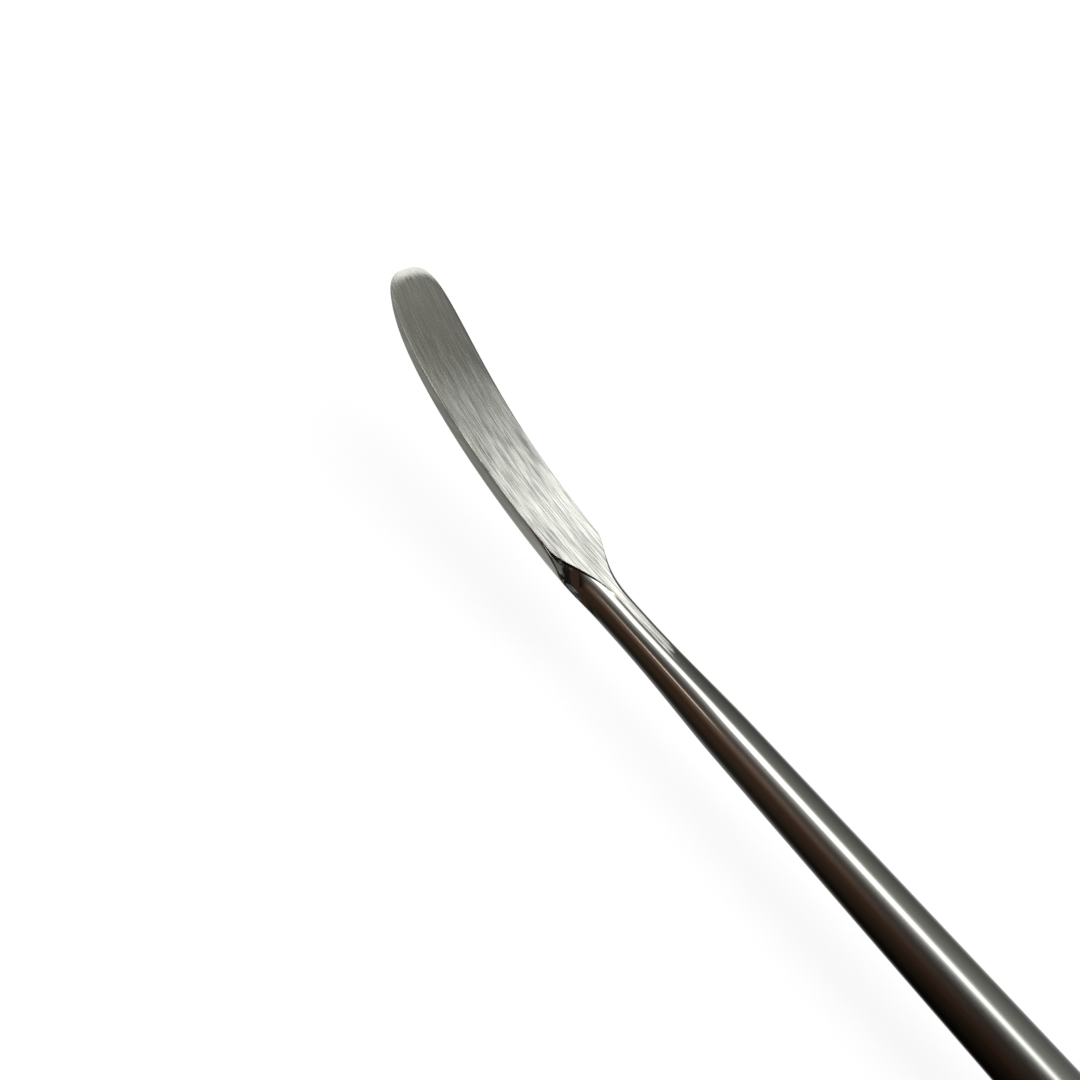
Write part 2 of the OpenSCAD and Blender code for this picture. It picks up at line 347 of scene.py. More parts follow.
def side_points(x, edge_z, edge_angle, ground):
    """Columns down the wall and round the back, on one side."""
    k = np.concatenate([
        SIDE_STEPS * np.linspace(0, 1, WALL_COLUMNS) ** 1.5,
        np.linspace(SIDE_STEPS, LAST, BACK_COLUMNS)[1:],
    ])[None, 1:]
    y, z = side_point(x, k, ground)
    depth = np.clip(edge_z - z, 0, None)
    # The top of the wall meets the rolled border; at the tip the whole section drops with it
    z = z - face_roll(x)[1] * mix(1 - clamp01(k / SIDE_STEPS), 1, tip_wear(x))
    roll = np.maximum(wall_roll(x), NO_ROLL)
    y = y - ROLL_INSET * roll * clamp01(1 - depth / roll) ** 2 * (k < SIDE_STEPS)
    from_middle = clamp01(k / SIDE_STEPS) * 2 - 1
    fade = ease(clamp01((LAST - k) / (LAST - BACK_START)))
    y = y - WALL_CROWN * from_middle ** 2 * flare_share(x, 1) * fade
    bar = bar_radius(x)
    on_bar = x < x_tongue
    turned = mix(edge_angle, math.pi / 2, clamp01(k / SIDE_STEPS))
    turned = turned + math.pi / 2 * clamp01((k - SIDE_STEPS) / BACK_STEPS)
    y = np.where(on_bar, bar * np.sin(turned), y)
    z = np.where(on_bar, bar * np.cos(turned), z)
    return y, z


def working_end_stations():
    """Where the sections are, from the tip back: close together at the tip and on the heel."""
    ends = (tip_x - WORN_LEN, x_shoulders + 2 * MM, x_neck, x_tongue, x_tongue - SHANK_FRONT_LEN)
    ends += (x_nose,)
    stations = [tip_x - WORN_LEN * np.linspace(0, 1, 60) ** 2.2]
    for start, end, count in zip(ends, ends[1:], (80, 130, 40, 40, 24)):
        stations.append(np.linspace(start, end, count)[1:])
    return np.concatenate(stations)


def make_working_end():
    """Blade, neck, shank, seat and tang as one closed skin of rings."""
    stations = working_end_stations()
    x = stations[:, None]
    edge_y, edge_z = side_point(x, np.zeros((1, 1)))
    fan = FAN * ease(clamp01((x_tongue - x) / FAN_LEN))
    edge_angle = np.arcsin(np.clip(edge_y / bar_radius(x), 0, 1)) + fan
    face_y, face_z = face_points(x, edge_y, edge_z, edge_angle)
    face_count = face_y.shape[1]
    near_y, near_z = side_points(x, edge_z, edge_angle, True)
    far_y, far_z = side_points(x, edge_z, edge_angle, False)
    # Rings from the middle of the face over the +Y side to the back and up the -Y side
    ring_y = np.concatenate([face_y, near_y, -far_y[:, -2::-1], -face_y[:, :0:-1]], axis=1)
    ring_z = np.concatenate([face_z, near_z, far_z[:, -2::-1], face_z[:, :0:-1]], axis=1)
    count = ring_y.shape[1]
    rings = np.stack([np.broadcast_to(x, ring_y.shape), ring_y, ring_z + axis_z], axis=2)

    angle = np.arctan2(ring_y[-1], ring_z[-1])
    rear = [
        np.stack([np.full(count, at), r * np.sin(angle), r * np.cos(angle) + axis_z], axis=1)
        for at, r in (
            (x_seat + EDGE_ROUND, SHANK_REAR_R), (x_seat, SHANK_REAR_R - EDGE_ROUND),
            (x_seat, TANG_R), (tang_x + EDGE_ROUND, TANG_R), (tang_x, TANG_R - EDGE_ROUND),
        )
    ]
    tip_z = axis_z + float(face_z[0, 0] + near_z[0, -1]) / 2
    ends = np.array([[tip_x, 0, tip_z], [tang_x, 0, axis_z]])
    points = np.concatenate([rings.reshape(-1, 3)] + rear + [ends])
    rows = len(stations) + len(rear)
    front, back = rows * count, rows * count + 1
    faces = grid_faces(rows, count)
    faces += [((j + 1) % count, j, front) for j in range(count)]
    last = (rows - 1) * count
    faces += [(last + j, last + (j + 1) % count, back) for j in range(count)]
    piece = mesh_piece("working_end_steel", points, faces)

    # 1 on the flat brushed face, 0 on the walls, the back and the bar
    flat = np.zeros((rows, count))
    on_face = (stations >= x_tongue)[:, None]
    flat[:len(stations), :face_count] = on_face
    flat[:len(stations), count - face_count + 1:] = on_face
    point_attribute(piece, "flat_face", np.concatenate([flat.reshape(-1), [1, 0]]))
    piece.data.materials.append(finishes["blade_steel"])
    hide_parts("working_end")
    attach(piece, "root")


# ------------ node values

class Value:
    """A number or vector in a node tree; arithmetic on it adds Math nodes to its sheet."""

    def __init__(self, sheet, socket):
        self.sheet = sheet
        self.socket = socket

    def maths(self, operation, *values):
        inputs = dict(enumerate(values))
        return self.sheet.node("ShaderNodeMath", {"operation": operation}, inputs)

    def __add__(self, other):
        return self.maths("ADD", self, other)

    def __sub__(self, other):
        return self.maths("SUBTRACT", self, other)

    def __rsub__(self, other):
        return self.maths("SUBTRACT", other, self)

    def __mul__(self, other):
        return self.maths("MULTIPLY", self, other)

    def __truediv__(self, other):
        return self.maths("DIVIDE", self, other)

    def __rtruediv__(self, other):
        return self.maths("DIVIDE", other, self)

    __radd__ = __add__
    __rmul__ = __mul__


class Sheet:
    """A node tree: of a material, of the world or of a Geometry Nodes modifier."""

    def __init__(self, tree):
        self.tree = tree
        self.tree.nodes.clear()

    def node(self, kind, settings=None, inputs=None, output=0):
        """Adds a node: its settings first, then its sockets' values or links."""
        made = self.tree.nodes.new(kind)
        for name, value in (settings or {}).items():
            if name == "stops":
                self.set_stops(made.color_ramp, value)
            else:
                setattr(made, name, value)
        for name, value in (inputs or {}).items():
            socket = made.inputs[name]
            if isinstance(value, Value):
                self.tree.links.new(value.socket, socket)
            else:
                socket.default_value = value
        return Value(self, made.outputs[output]) if made.outputs else None

    @staticmethod
    def set_stops(ramp, stops):
        while len(ramp.elements) < len(stops):
            ramp.elements.new(1)
        for element, (place, shade) in zip(ramp.elements, stops):
            element.position = place
            element.color = shade

    def outputs(self, value):
        """Every output of the node that a value comes from."""
        return [Value(self, socket) for socket in value.socket.node.outputs]

    def split(self, vector):
        return self.outputs(self.node("ShaderNodeSeparateXYZ", inputs={0: vector}))

    def attribute(self, name):
        """One number from a mesh attribute."""
        return self.node("ShaderNodeAttribute", {"attribute_name": name}, output=2)

    def step(self, value, low, high, a=0.0, b=1.0):
        """Smooth step: a below low, b above high."""
        settings = {"interpolation_type": "SMOOTHSTEP"}
        return self.node("ShaderNodeMapRange", settings, {0: value, 1: low, 2: high, 3: a, 4: b})

    def band(self, value, start, full, fade, end):
        """0 below start and above end, 1 from full to fade, smooth between them."""
        return self.step(value, start, full) * self.step(value, fade, end, 1, 0)

    def ramp(self, value, stops):
        """Colour at a value along stops, each a place and its colour or its grey level."""
        low, high = stops[0][0], stops[-1][0]
        share = self.node("ShaderNodeMapRange", None, {0: value, 1: low, 2: high})
        placed = [((at - low) / (high - low), colour(*rgb)) for at, *rgb in stops]
        return self.node("ShaderNodeValToRGB", {"stops": placed}, {0: share})

    def blend(self, share, a, b):
        """Colour a where share is 0, and b where it is 1."""
        return self.node("ShaderNodeMix", {"data_type": "RGBA"}, {0: share, 6: a, 7: b}, output=2)

    def times(self, a, b):
        """Product of two colours, or of a number and a colour."""
        return self.node("ShaderNodeVectorMath", {"operation": "MULTIPLY"}, {
            0: a, 1: b[:3] if isinstance(b, tuple) else b,
        })

    def plus(self, a, b):
        return self.node("ShaderNodeVectorMath", {"operation": "ADD"}, {0: a, 1: b})

    def noise(self, vector, grain, turn=0.0, detail=2.0, roughness=0.5):
        """Noise whose grain has a size in mm along each axis, and is turned about Z."""
        mapped = self.node("ShaderNodeMapping", {"vector_type": "TEXTURE"}, {
            "Vector": vector, "Rotation": (0, 0, turn), "Scale": [size * MM for size in grain],
        })
        return self.node("ShaderNodeTexNoise", inputs={
            "Vector": mapped, "Scale": 1.0, "Detail": detail, "Roughness": roughness,
        })

    def spots(self, vector, grain, low, high, turn=0.0, detail=2.0, roughness=0.5):
        """Patches of noise: 0 below low, 1 above high."""
        return self.step(self.noise(vector, grain, turn, detail, roughness), low, high)

    def bump(self, height, distance, strength=1.0):
        return self.node("ShaderNodeBump", inputs={
            "Height": height, "Distance": distance, "Strength": strength,
        })

    def steel(self, shade, roughness, normal):
        """Ends a metal material."""
        self.finish(self.node("ShaderNodeBsdfPrincipled", inputs={
            "Base Color": shade, "Metallic": 1.0, "Roughness": roughness, "Normal": normal,
        }))

    def finish(self, shader):
        self.node("ShaderNodeOutputMaterial", inputs={"Surface": shader})


def colour(r, g=None, b=None):
    """A colour, or a grey if only its level is given."""
    return (r, r if g is None else g, r if b is None else b, 1)


def grey(level, warmth=0.0):
    return colour(level, level, level * (1 - warmth))


def material_sheet(name):
    """A new material, its sheet and its object coordinates."""
    material = bpy.data.materials.new(name)
    material.use_nodes = True
    sheet = Sheet(material.node_tree)
    return material, sheet, sheet.node("ShaderNodeTexCoord", output=3)


# ------------ turned pieces

FLATS = 8
# How far round a corner is from the flat's middle, in flat radii, when it starts and ends
# to count as a worn corner
CORNER_STARTS = 1.035
CORNER_ENDS = 1.075
MERGE = 0.002 * MM
# Added before rounding down, so that a whole number stays whole
NUDGE = 0.0001
# A size that cuts nothing off
NO_CUT = 1.0


def make_turning_tree():
    """Geometry Nodes: spins a profile round the axis of the handle and cuts flats into it.

    The profile is a line of points (x, 0, radius). Flats are cut across the given size,
    their corners are rounded to the corner radius, and all edges made soft.
    """
    tree = bpy.data.node_groups.new("turned_piece", "GeometryNodeTree")
    sheet = Sheet(tree)
    sockets = [
        ("Profile", "NodeSocketGeometry"), ("Columns", "NodeSocketInt"),
        ("Flats", "NodeSocketInt"), ("Across Flats", "NodeSocketFloat"),
        ("Corner Radius", "NodeSocketFloat"), ("Soft Edge", "NodeSocketFloat"),
        ("Axis Height", "NodeSocketFloat"), ("Material", "NodeSocketMaterial"),
    ]
    for name, kind in sockets:
        tree.interface.new_socket(name, in_out="INPUT", socket_type=kind)
    tree.interface.new_socket("Piece", in_out="OUTPUT", socket_type="NodeSocketGeometry")
    given = sheet.outputs(sheet.node("NodeGroupInput"))
    profile, columns, flats, across, corner_r, soft, height, material = given[:8]

    rows = sheet.node("GeometryNodeAttributeDomainSize", {"component": "MESH"}, {0: profile})
    grid = sheet.node("GeometryNodeMeshGrid", inputs={
        "Vertices X": rows, "Vertices Y": columns + 1.0,
    })
    index = sheet.node("GeometryNodeInputIndex")
    row = index / (columns + 1.0) + NUDGE
    row = row.maths("FLOOR", row)
    column = index - row * (columns + 1.0)
    point = sheet.node("GeometryNodeSampleIndex", {"data_type": "FLOAT_VECTOR"}, {
        "Geometry": profile, "Value": sheet.node("GeometryNodeInputPosition"), "Index": row,
    })
    x, _, radius = sheet.split(point)

    turn = column * (2 * math.pi) / columns
    sector = 2 * math.pi / flats
    from_flat = turn + sector / 2
    from_flat = from_flat.maths("FLOORED_MODULO", from_flat, sector) - sector / 2
    flat_r = across / 2 / from_flat.maths("COSINE", from_flat)
    flat_r = flat_r.maths("SMOOTH_MIN", flat_r, corner_r, soft)
    cut_r = radius.maths("SMOOTH_MIN", radius, flat_r, soft)
    place = sheet.node("ShaderNodeCombineXYZ", inputs={
        0: x,
        1: cut_r * turn.maths("SINE", turn),
        2: cut_r * turn.maths("COSINE", turn) + height,
    })
    corner = sheet.step(flat_r, across / 2 * CORNER_STARTS, across / 2 * CORNER_ENDS)
    marked = sheet.node("GeometryNodeStoreNamedAttribute", {"domain": "POINT"}, {
        "Geometry": grid, "Name": "corner", "Value": corner,
    })
    spun = sheet.node("GeometryNodeSetPosition", inputs={"Geometry": marked, "Position": place})
    closed = sheet.node("GeometryNodeMergeByDistance", inputs={
        "Geometry": spun, "Distance": MERGE,
    })
    smooth = sheet.node("GeometryNodeSetShadeSmooth", inputs={"Geometry": closed})
    real = sheet.node("GeometryNodeRealizeInstances", inputs={"Geometry": smooth})
    painted = sheet.node("GeometryNodeSetMaterial", inputs={
        "Geometry": real, "Material": material,
    })
    sheet.node("NodeGroupOutput", inputs={"Piece": painted})
    return tree


def turn_piece(node, slot, profile, columns, across=NO_CUT, corner_r=NO_CUT, soft=0.0):
    """Spins a profile of (x, radius) points and puts it in a node's place as a plain mesh."""
    name = node + "_" + slot.split("_")[1]
    line = bpy.data.meshes.new(name + "_profile")
    points = [(x, 0, r) for x, r in profile]
    line.from_pydata(points, [(i, i + 1) for i in range(len(points) - 1)], [])
    blank = bpy.data.objects.new(name + "_profile", line)
    bpy.context.collection.objects.link(blank)
    modifier = blank.modifiers.new("turning", "NODES")
    modifier.node_group = turning_tree
    values = {
        "Columns": columns, "Flats": FLATS, "Across Flats": across, "Corner Radius": corner_r,
        "Soft Edge": soft, "Axis Height": axis_z, "Material": finishes[slot],
    }
    for item in turning_tree.interface.items_tree:
        if item.name in values:
            modifier[item.identifier] = values[item.name]
    evaluated = blank.evaluated_get(bpy.context.evaluated_depsgraph_get())
    mesh = bpy.data.meshes.new_from_object(evaluated)
    mesh.name = name
    blank.modifiers.remove(modifier)
    bpy.data.objects.remove(blank)
    bpy.data.meshes.remove(line)
    piece = bpy.data.objects.new(name, mesh)
    bpy.context.collection.objects.link(piece)
    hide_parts(node)
    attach(piece, "root")


def round_corners(corners, steps=5):
    """Profile through corners (x, radius, rounding), each rounded by its own size."""
    profile = []
    for i, (x, r, size) in enumerate(corners):
        here = Vector((x, r))
        if size == 0:
            profile.append((x, r))
            continue
        before = Vector(corners[i - 1][:2]) - here
        after = Vector(corners[(i + 1) % len(corners)][:2]) - here
        start = here + before.normalized() * min(size, before.length / 2)
        end = here + after.normalized() * min(size, after.length / 2)
        for j in range(steps + 1):
            t = j / steps
            point = start * (1 - t) ** 2 + here * 2 * t * (1 - t) + end * t ** 2
            profile.append((point.x, point.y))
    return profile


def close_ring(profile):
    """A profile that ends where it starts, for a piece with a hole."""
    return profile + profile[:1]


def add_rows(profile, rows):
    """Splits each line of a profile into as many as rows says of its ends."""
    result = [profile[0]]
    for (x0, r0), (x1, r1) in zip(profile, profile[1:]):
        count = rows(x0, r0, x1, r1)
        for j in range(1, count + 1):
            result.append((mix(x0, x1, j / count), mix(r0, r1, j / count)))
    return result


AF = handle_high[2] - handle_low[2]
OCTAGON_R = AF / 2 / math.cos(math.pi / FLATS)
SOFT_EDGE = 0.12 * MM
OUTER_R = OCTAGON_R + 0.1 * MM
CORNER_R = OCTAGON_R - SOFT_EDGE
BORE_R = 4.6 * MM
OUTSIDE_R = BORE_R * 1.05
MOUTH_R = 5.7 * MM
RUNOUT = 4 * MM
RUNOUT_ROUND = 0.8 * MM
RUNOUT_STEP = 0.25 * MM
GROOVE_R = AF / 2 - 0.8 * MM
GROOVE_FOOT = 0.2 * MM
WALL_LEAN = 0.08 * MM
WALL_ROWS = 7
FIT = 0.03 * MM
SPIGOT_R = BORE_R - FIT
SEAL_T = 1 * MM
NOSE_FRONT_R = 3.6 * MM
# Roundings: mouth of the tube, outer edges, inner edges, lips of a seal groove, holes, lead-in
MOUTH_ROUND = 0.2 * MM
EDGE = 0.12 * MM
INNER_EDGE = 0.05 * MM
SEAL_LIP = 0.08 * MM
HOLE_EDGE = 0.15 * MM
LEAD_IN = 0.3 * MM
# Soft rings: rounding of their rims and height of their beads
RING_RIM = 0.22 * MM
BEAD = 0.06 * MM
# Number of beads on a ring, by its slot
RING_BEADS = {"grip_silicone": 3, "marking_silicone": 1}


def tube_rows(x0, r0, x1, r1):
    """Rows on the tube: many where the flats meet a leaning wall or run out, else one."""
    if 0 < abs(x1 - x0) < 1.01 * WALL_LEAN and abs(r1 - r0) > 1 * MM:
        return WALL_ROWS
    middle = (x0 + x1) / 2
    runs_out = x_cap < middle < x_cap + RUNOUT or x_tube - RUNOUT < middle < x_tube
    if runs_out and r0 > OUTSIDE_R:
        return math.ceil(abs(x1 - x0) / RUNOUT_STEP)
    return 1


def make_handle_tube():
    """Hollow octagonal tube: flats that run out into round mouths, and grooves for the rings."""
    rings = sorted(
        x_span(row["node"]) for row in frame["record"]["subparts"]
        if row["material_slot"] in RING_BEADS
    )
    corners = [(x_cap, MOUTH_R, MOUTH_ROUND), (x_cap + RUNOUT, OUTER_R, RUNOUT_ROUND)]
    foot_r = GROOVE_R + GROOVE_FOOT
    for ring_rear, ring_front in rings:
        rear, front = ring_rear - FIT, ring_front + FIT
        corners += [
            (rear - WALL_LEAN, OUTER_R, 0), (rear, foot_r, 0), (rear, GROOVE_R, 0),
            (front, GROOVE_R, 0), (front, foot_r, 0), (front + WALL_LEAN, OUTER_R, 0),
        ]
    corners += [
        (x_tube - RUNOUT, OUTER_R, RUNOUT_ROUND), (x_tube, MOUTH_R, MOUTH_ROUND),
        (x_tube, BORE_R, HOLE_EDGE), (x_cap, BORE_R, HOLE_EDGE),
    ]
    profile = add_rows(close_ring(round_corners(corners)), tube_rows)
    turn_piece("handle_tube", "handle_steel", profile, 192, AF, CORNER_R, SOFT_EDGE)


def seal_groove(x, ahead):
    """Corners of the groove for the O-ring at x, in the order of rising x if ahead is 1."""
    first, last = x - ahead * SEAL_T / 2, x + ahead * SEAL_T / 2
    return [
        (first, SPIGOT_R, SEAL_LIP), (first, BORE_R - SEAL_T, INNER_EDGE),
        (last, BORE_R - SEAL_T, INNER_EDGE), (last, SPIGOT_R, SEAL_LIP),
    ]


def make_nose_ferrule():
    """Front plug: rounded nose, spigot with its seal groove, seat for the shank and tang hole."""
    rear, front = x_span("nose_ferrule")
    nose_len = front - x_tube
    nose = []
    for turn in np.radians(np.linspace(4, 86, 26)):
        nose.append((
            front - nose_len * (1 - math.cos(turn)),
            mix(NOSE_FRONT_R, MOUTH_R, math.sin(turn)), 0,
        ))
    seat_r = SHANK_REAR_R + FIT
    tang_r = TANG_R + FIT
    corners = [(front, NOSE_FRONT_R, EDGE)] + nose + [
        (x_tube, MOUTH_R, EDGE), (x_tube, SPIGOT_R, INNER_EDGE),
        *seal_groove(x_tube - 2 * SEAL_T, -1),
        (rear, SPIGOT_R, LEAD_IN), (rear, tang_r, HOLE_EDGE),
        (x_seat - SEAL_T, tang_r, INNER_EDGE), (x_seat - SEAL_T, TANG_R + SEAL_T, INNER_EDGE),
        (x_seat + FIT, TANG_R + SEAL_T, 0), (x_seat + FIT, seat_r, 0), (front, seat_r, EDGE),
    ]
    # The profile runs backwards, so it is turned round for faces that point outwards
    profile = close_ring(round_corners(corners))[::-1]
    turn_piece("nose_ferrule", "polished_steel", profile, 128)


def make_end_cap():
    """Domed plug at the rear, with a spigot and its seal groove."""
    rear, front = x_span("end_cap")
    cap_len = x_cap - rear
    dome = []
    for turn in np.radians(np.linspace(87, 4, 30)):
        dome.append((x_cap - cap_len * math.sin(turn), MOUTH_R * math.cos(turn), 0))
    corners = [(rear, 0, 0)] + dome + [
        (x_cap, MOUTH_R, EDGE), (x_cap, SPIGOT_R, INNER_EDGE),
        *seal_groove(x_cap + 2 * SEAL_T, 1),
        (front, SPIGOT_R, LEAD_IN), (front, 0, 0),
    ]
    turn_piece("end_cap", "polished_steel", round_corners(corners), 128)


def make_soft_ring(node, slot, beads):
    """Moulded band in its groove: rounded shoulders and shallow beads round the outside."""
    rear, front = x_span(node)
    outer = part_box(node)[1][2] - axis_z
    profile = [(front, GROOVE_R), (rear, GROOVE_R)]
    for s in np.linspace(0, 1, 12 * beads + 9):
        from_rim = min(s, 1 - s) * (front - rear)
        shoulder = max(0, 1 - from_rim / RING_RIM)
        bead = BEAD * (1 - math.cos(2 * math.pi * beads * s)) / 2
        drop = BEAD - bead + RING_RIM * (1 - math.sqrt(1 - shoulder ** 2))
        profile.append((mix(rear, front, s), outer - drop))
    turn_piece(node, slot, close_ring(profile), 96)


# ------------ materials

# Grain size, in mm, along an axis on which a pattern does not vary
LONG = 1000


def blade_steel():
    """Brushed on the flat face, satin on the walls of the blade, polished on neck and shank."""
    material, sheet, place = material_sheet("blade_steel")
    x = sheet.split(place)[0]
    brushed = sheet.step(sheet.attribute("flat_face"), 0.45, 0.55)

    # Scratches along the blade, in three widths and slightly crossed, and sparse deep ones
    hair = sheet.noise(place, (2.6, 0.075, LONG), 0.03, 3)
    lines = sheet.noise(place, (5.0, 0.18, LONG), -0.03, 2)
    crossed = sheet.noise(place, (1.8, 0.09, LONG), 0.09, 1)
    deep = sheet.spots(place, (3.2, 0.13, LONG), 0.60, 0.70, 0.05, 1)
    cloud = sheet.spots(place, (3.0, 0.8, LONG), 0.38, 0.62, 0.02, 2)
    # Painted highlight: sparse hairlines get a near-white base colour, standing in for scratches
    # that catch the light
    painted_glints = sheet.spots(place, (4, 0.075, LONG), 0.64, 0.70, 0.04, 0)
    painted_glints = painted_glints * sheet.step(x, x_shoulders + 18 * MM, x_shoulders + 12 * MM)
    fine = sheet.step(hair * 0.6 + lines * 0.4, 0.43, 0.57)
    scratches = hair * 0.45 + lines * 0.35 + crossed * 0.2 - deep * 0.15
    # They are shallower on the thin part of the blade, but for the worn tip
    thin = sheet.step(x, x_shoulders + 8 * MM, x_shoulders + 20 * MM)
    worn_tip = sheet.step(x, tip_x - 3 * MM, tip_x - 1 * MM)
    scratches = scratches * (1 - thin * 0.75 + worn_tip * 0.45)

    # The walls are ground, the rest is polished and gets duller towards the handle
    satin = sheet.step(x, x_shoulders - 3 * MM, x_shoulders + 6 * MM)
    wall_grain = sheet.noise(place, (1.2, LONG, 0.10), 0, 3)
    polish = sheet.noise(place, (4, 0.5, 0.5), 0, 3, 0.6)
    behind = sheet.step(x, x_nose, x_neck, 1, 0)
    rough_bar = 0.09 + behind * 0.10 + polish * 0.03
    rough_side = rough_bar + satin * 0.22
    rough_face = 0.17 + fine * 0.10 + cloud * (0.05 - thin * 0.04)
    roughness = rough_side + (rough_face - rough_side) * brushed

    height = sheet.blend(brushed, wall_grain * satin * 0.12 + polish * 0.004, scratches)
    bright = fine * 0.7 + cloud * 0.3
    dark = sheet.blend(thin, colour(0.32, 0.322, 0.302), colour(0.74, 0.745, 0.70))
    light = sheet.blend(thin, colour(0.92, 0.925, 0.865), colour(0.87, 0.87, 0.82))
    face_shade = sheet.blend(bright, dark, light)
    # Painted highlight: near-white base colour on the sparse hairlines
    face_shade = sheet.blend(painted_glints, face_shade, colour(1.0, 1.0, 0.94))
    patches = sheet.spots(place, (3, LONG, 0.4), 0.35, 0.65, 0, 3, 0.6) * satin
    side_shade = sheet.blend(patches, colour(0.66, 0.66, 0.64), colour(0.50, 0.51, 0.48))
    shade = sheet.blend(brushed, side_shade, face_shade)
    sheet.steel(shade, roughness, sheet.bump(height, 0.026 * MM))
    return material


def handle_steel():
    """Satin steel brushed along the handle, brighter on its worn corners, with painted shade
    darkening the grooves.
    """
    material, sheet, place = material_sheet("handle_steel")
    _, y, z = sheet.split(place)
    up = z - axis_z
    square = y * y + up * up
    radius = square.maths("SQRT", square)
    worn = sheet.attribute("corner")
    lines = sheet.noise(place, (7, 0.12, 0.12), 0, 3, 0.6)
    hair = sheet.noise(place, (2.5, 0.05, 0.05), 0, 2)
    cloud = sheet.noise(place, (9, 5, 5), 0, 3, 0.6)
    smudge = sheet.spots(place, (6, 3, 3), 0.52, 0.66, 0.4, 3, 0.6)
    chipped = sheet.spots(place, (0.8, 0.3, 0.3), 0.40, 0.62, 0, 3, 0.6)
    # Painted shade: the base colour is darkened on the floors of the ring grooves and in the bore
    painted_groove_shade = sheet.step(radius, GROOVE_R - 0.05 * MM, GROOVE_R + 0.5 * MM, 1, 0)
    bright = lines * 0.6 + hair * 0.4
    shade = sheet.blend(sheet.step(bright, 0.38, 0.62), grey(0.50, 0.03), grey(0.66, 0.03))
    worn = worn * chipped
    shade = sheet.blend(worn, shade, grey(0.80, 0.02))
    # Painted shade in the grooves: a dark base colour blended in
    shade = sheet.blend(painted_groove_shade * 0.7, shade, colour(0.16, 0.155, 0.15))
    roughness = 0.26 + lines * 0.10 + cloud * 0.08 + smudge * 0.07 - worn * 0.12
    height = lines * 0.5 + hair * 0.5
    sheet.steel(shade, roughness, sheet.bump(height, 0.008 * MM))
    return material


def turned_steel():
    """Polished steel with fine rings from the lathe and faint smudges."""
    material, sheet, place = material_sheet("polished_steel")
    rings = sheet.noise(place, (0.07, LONG, LONG), 0, 3, 0.6)
    wide = sheet.noise(place, (0.5, 8, 8), 0, 2)
    scuffs = sheet.spots(place, (1.6, 0.12, 0.12), 0.62, 0.70, 0.5, 2)
    smudge = sheet.spots(place, (4, 3, 3), 0.50, 0.66, 0, 3, 0.6)
    shade = sheet.blend(rings, grey(0.58, 0.03), grey(0.72, 0.03))
    roughness = 0.12 + rings * 0.06 + smudge * 0.09 + scuffs * 0.08
    height = rings * 0.5 + wide * 0.5 - scuffs * 0.3
    sheet.steel(shade, roughness, sheet.bump(height, 0.003 * MM))
    return material


def fastener_steel():
    """Plain machined steel, a little dull."""
    material, sheet, place = material_sheet("fastener_steel")
    marks = sheet.noise(place, (0.1, 0.8, 0.8), 0, 3, 0.6)
    stain = sheet.spots(place, (1.5, 1.5, 1.5), 0.5, 0.7, 0, 3)
    shade = sheet.blend(stain, grey(0.54, 0.03), grey(0.42, 0.06))
    sheet.steel(shade, 0.28 + marks * 0.12 + stain * 0.1, sheet.bump(marks, 0.006 * MM))
    return material


def rubber(name, shade, shine):
    """Moulded rubber: fine grain, rubbed patches and specks of dust."""
    material, sheet, place = material_sheet(name)
    grain = sheet.noise(place, (0.12, 0.12, 0.12), 0, 3, 0.6)
    rubbed = sheet.spots(place, (2, 1.4, 1.4), 0.45, 0.65, 0, 3, 0.6)
    dust = sheet.spots(place, (0.35, 0.35, 0.35), 0.62, 0.72, 0, 2)
    light = colour(*[c * 1.25 + 0.01 for c in shade])
    dusty = colour(*[c * 0.7 + 0.10 for c in shade])
    tone = sheet.blend(rubbed, colour(*shade), light)
    sheet.finish(sheet.node("ShaderNodeBsdfPrincipled", inputs={
        "Base Color": sheet.blend(dust * 0.5, tone, dusty),
        "Roughness": shine + grain * 0.15 - rubbed * 0.08,
        "Specular IOR Level": 0.4,
        "Normal": sheet.bump(grain, 0.012 * MM, 0.6),
    }))
    return material


# ------------ studio

FLOOR_SIZE = 3.0
FLOOR_GLOW = 0.85
WORLD_LIGHT = 0.75

KEY_PLACE = (0.1, -0.3, 0.9)
KEY_TARGET = (0.03, 0, 0)
KEY_SIZE = (0.9, 0.9)
KEY_POWER = 6

FACE_LAMP_R = 18 * MM
FACE_LAMP_ANGLE = math.radians(138)
FACE_LAMP_WIDTH = 20 * MM
FACE_LAMP_POWER = 2.5
# Where each soft box over the flat face starts and ends, in mm, and how bright it is
FACE_LAMPS = (
    (58.0, 72.2, 1.36), (72.2, 74.3, 0.88), (74.3, 75.6, 0.42), (75.6, 77.4, 0.40),
    (87.0, 104.0, 1.20),
)

TENT_R = 300 * MM
TENT_REAR = -900 * MM
TENT_FRONT = 900 * MM
TENT_MIDDLE = -4 * MM
MAT_LIFT = 0.05 * MM

# Shades of the arch by the angle from +Y in degrees: brown side, grey side, grey side at the tip
BROWN_WALL = [
    (-10, 0.042, 0.022, 0.014), (4, 0.048, 0.026, 0.016),
    (18, 0.056, 0.032, 0.022), (30, 0.052, 0.036, 0.027),
    (42, 0.062, 0.051, 0.043), (62, 0.17, 0.165, 0.16),
]
GREY_WALL = [
    (80, 0.30, 0.30, 0.28), (96, 0.30, 0.30, 0.27),
    (106, 0.22, 0.22, 0.20), (120, 0.17, 0.17, 0.155),
    (140, 0.12, 0.12, 0.11), (156, 0.095, 0.095, 0.088),
    (170, 0.085, 0.085, 0.080), (190, 0.21, 0.21, 0.205),
]
TIP_WALL = [
    (96, 0.44, 0.44, 0.41), (116, 0.26, 0.26, 0.24),
    (138, 0.225, 0.225, 0.208), (150, 0.25, 0.25, 0.235),
    (162, 0.40, 0.40, 0.38), (183, 0.50, 0.50, 0.48),
]
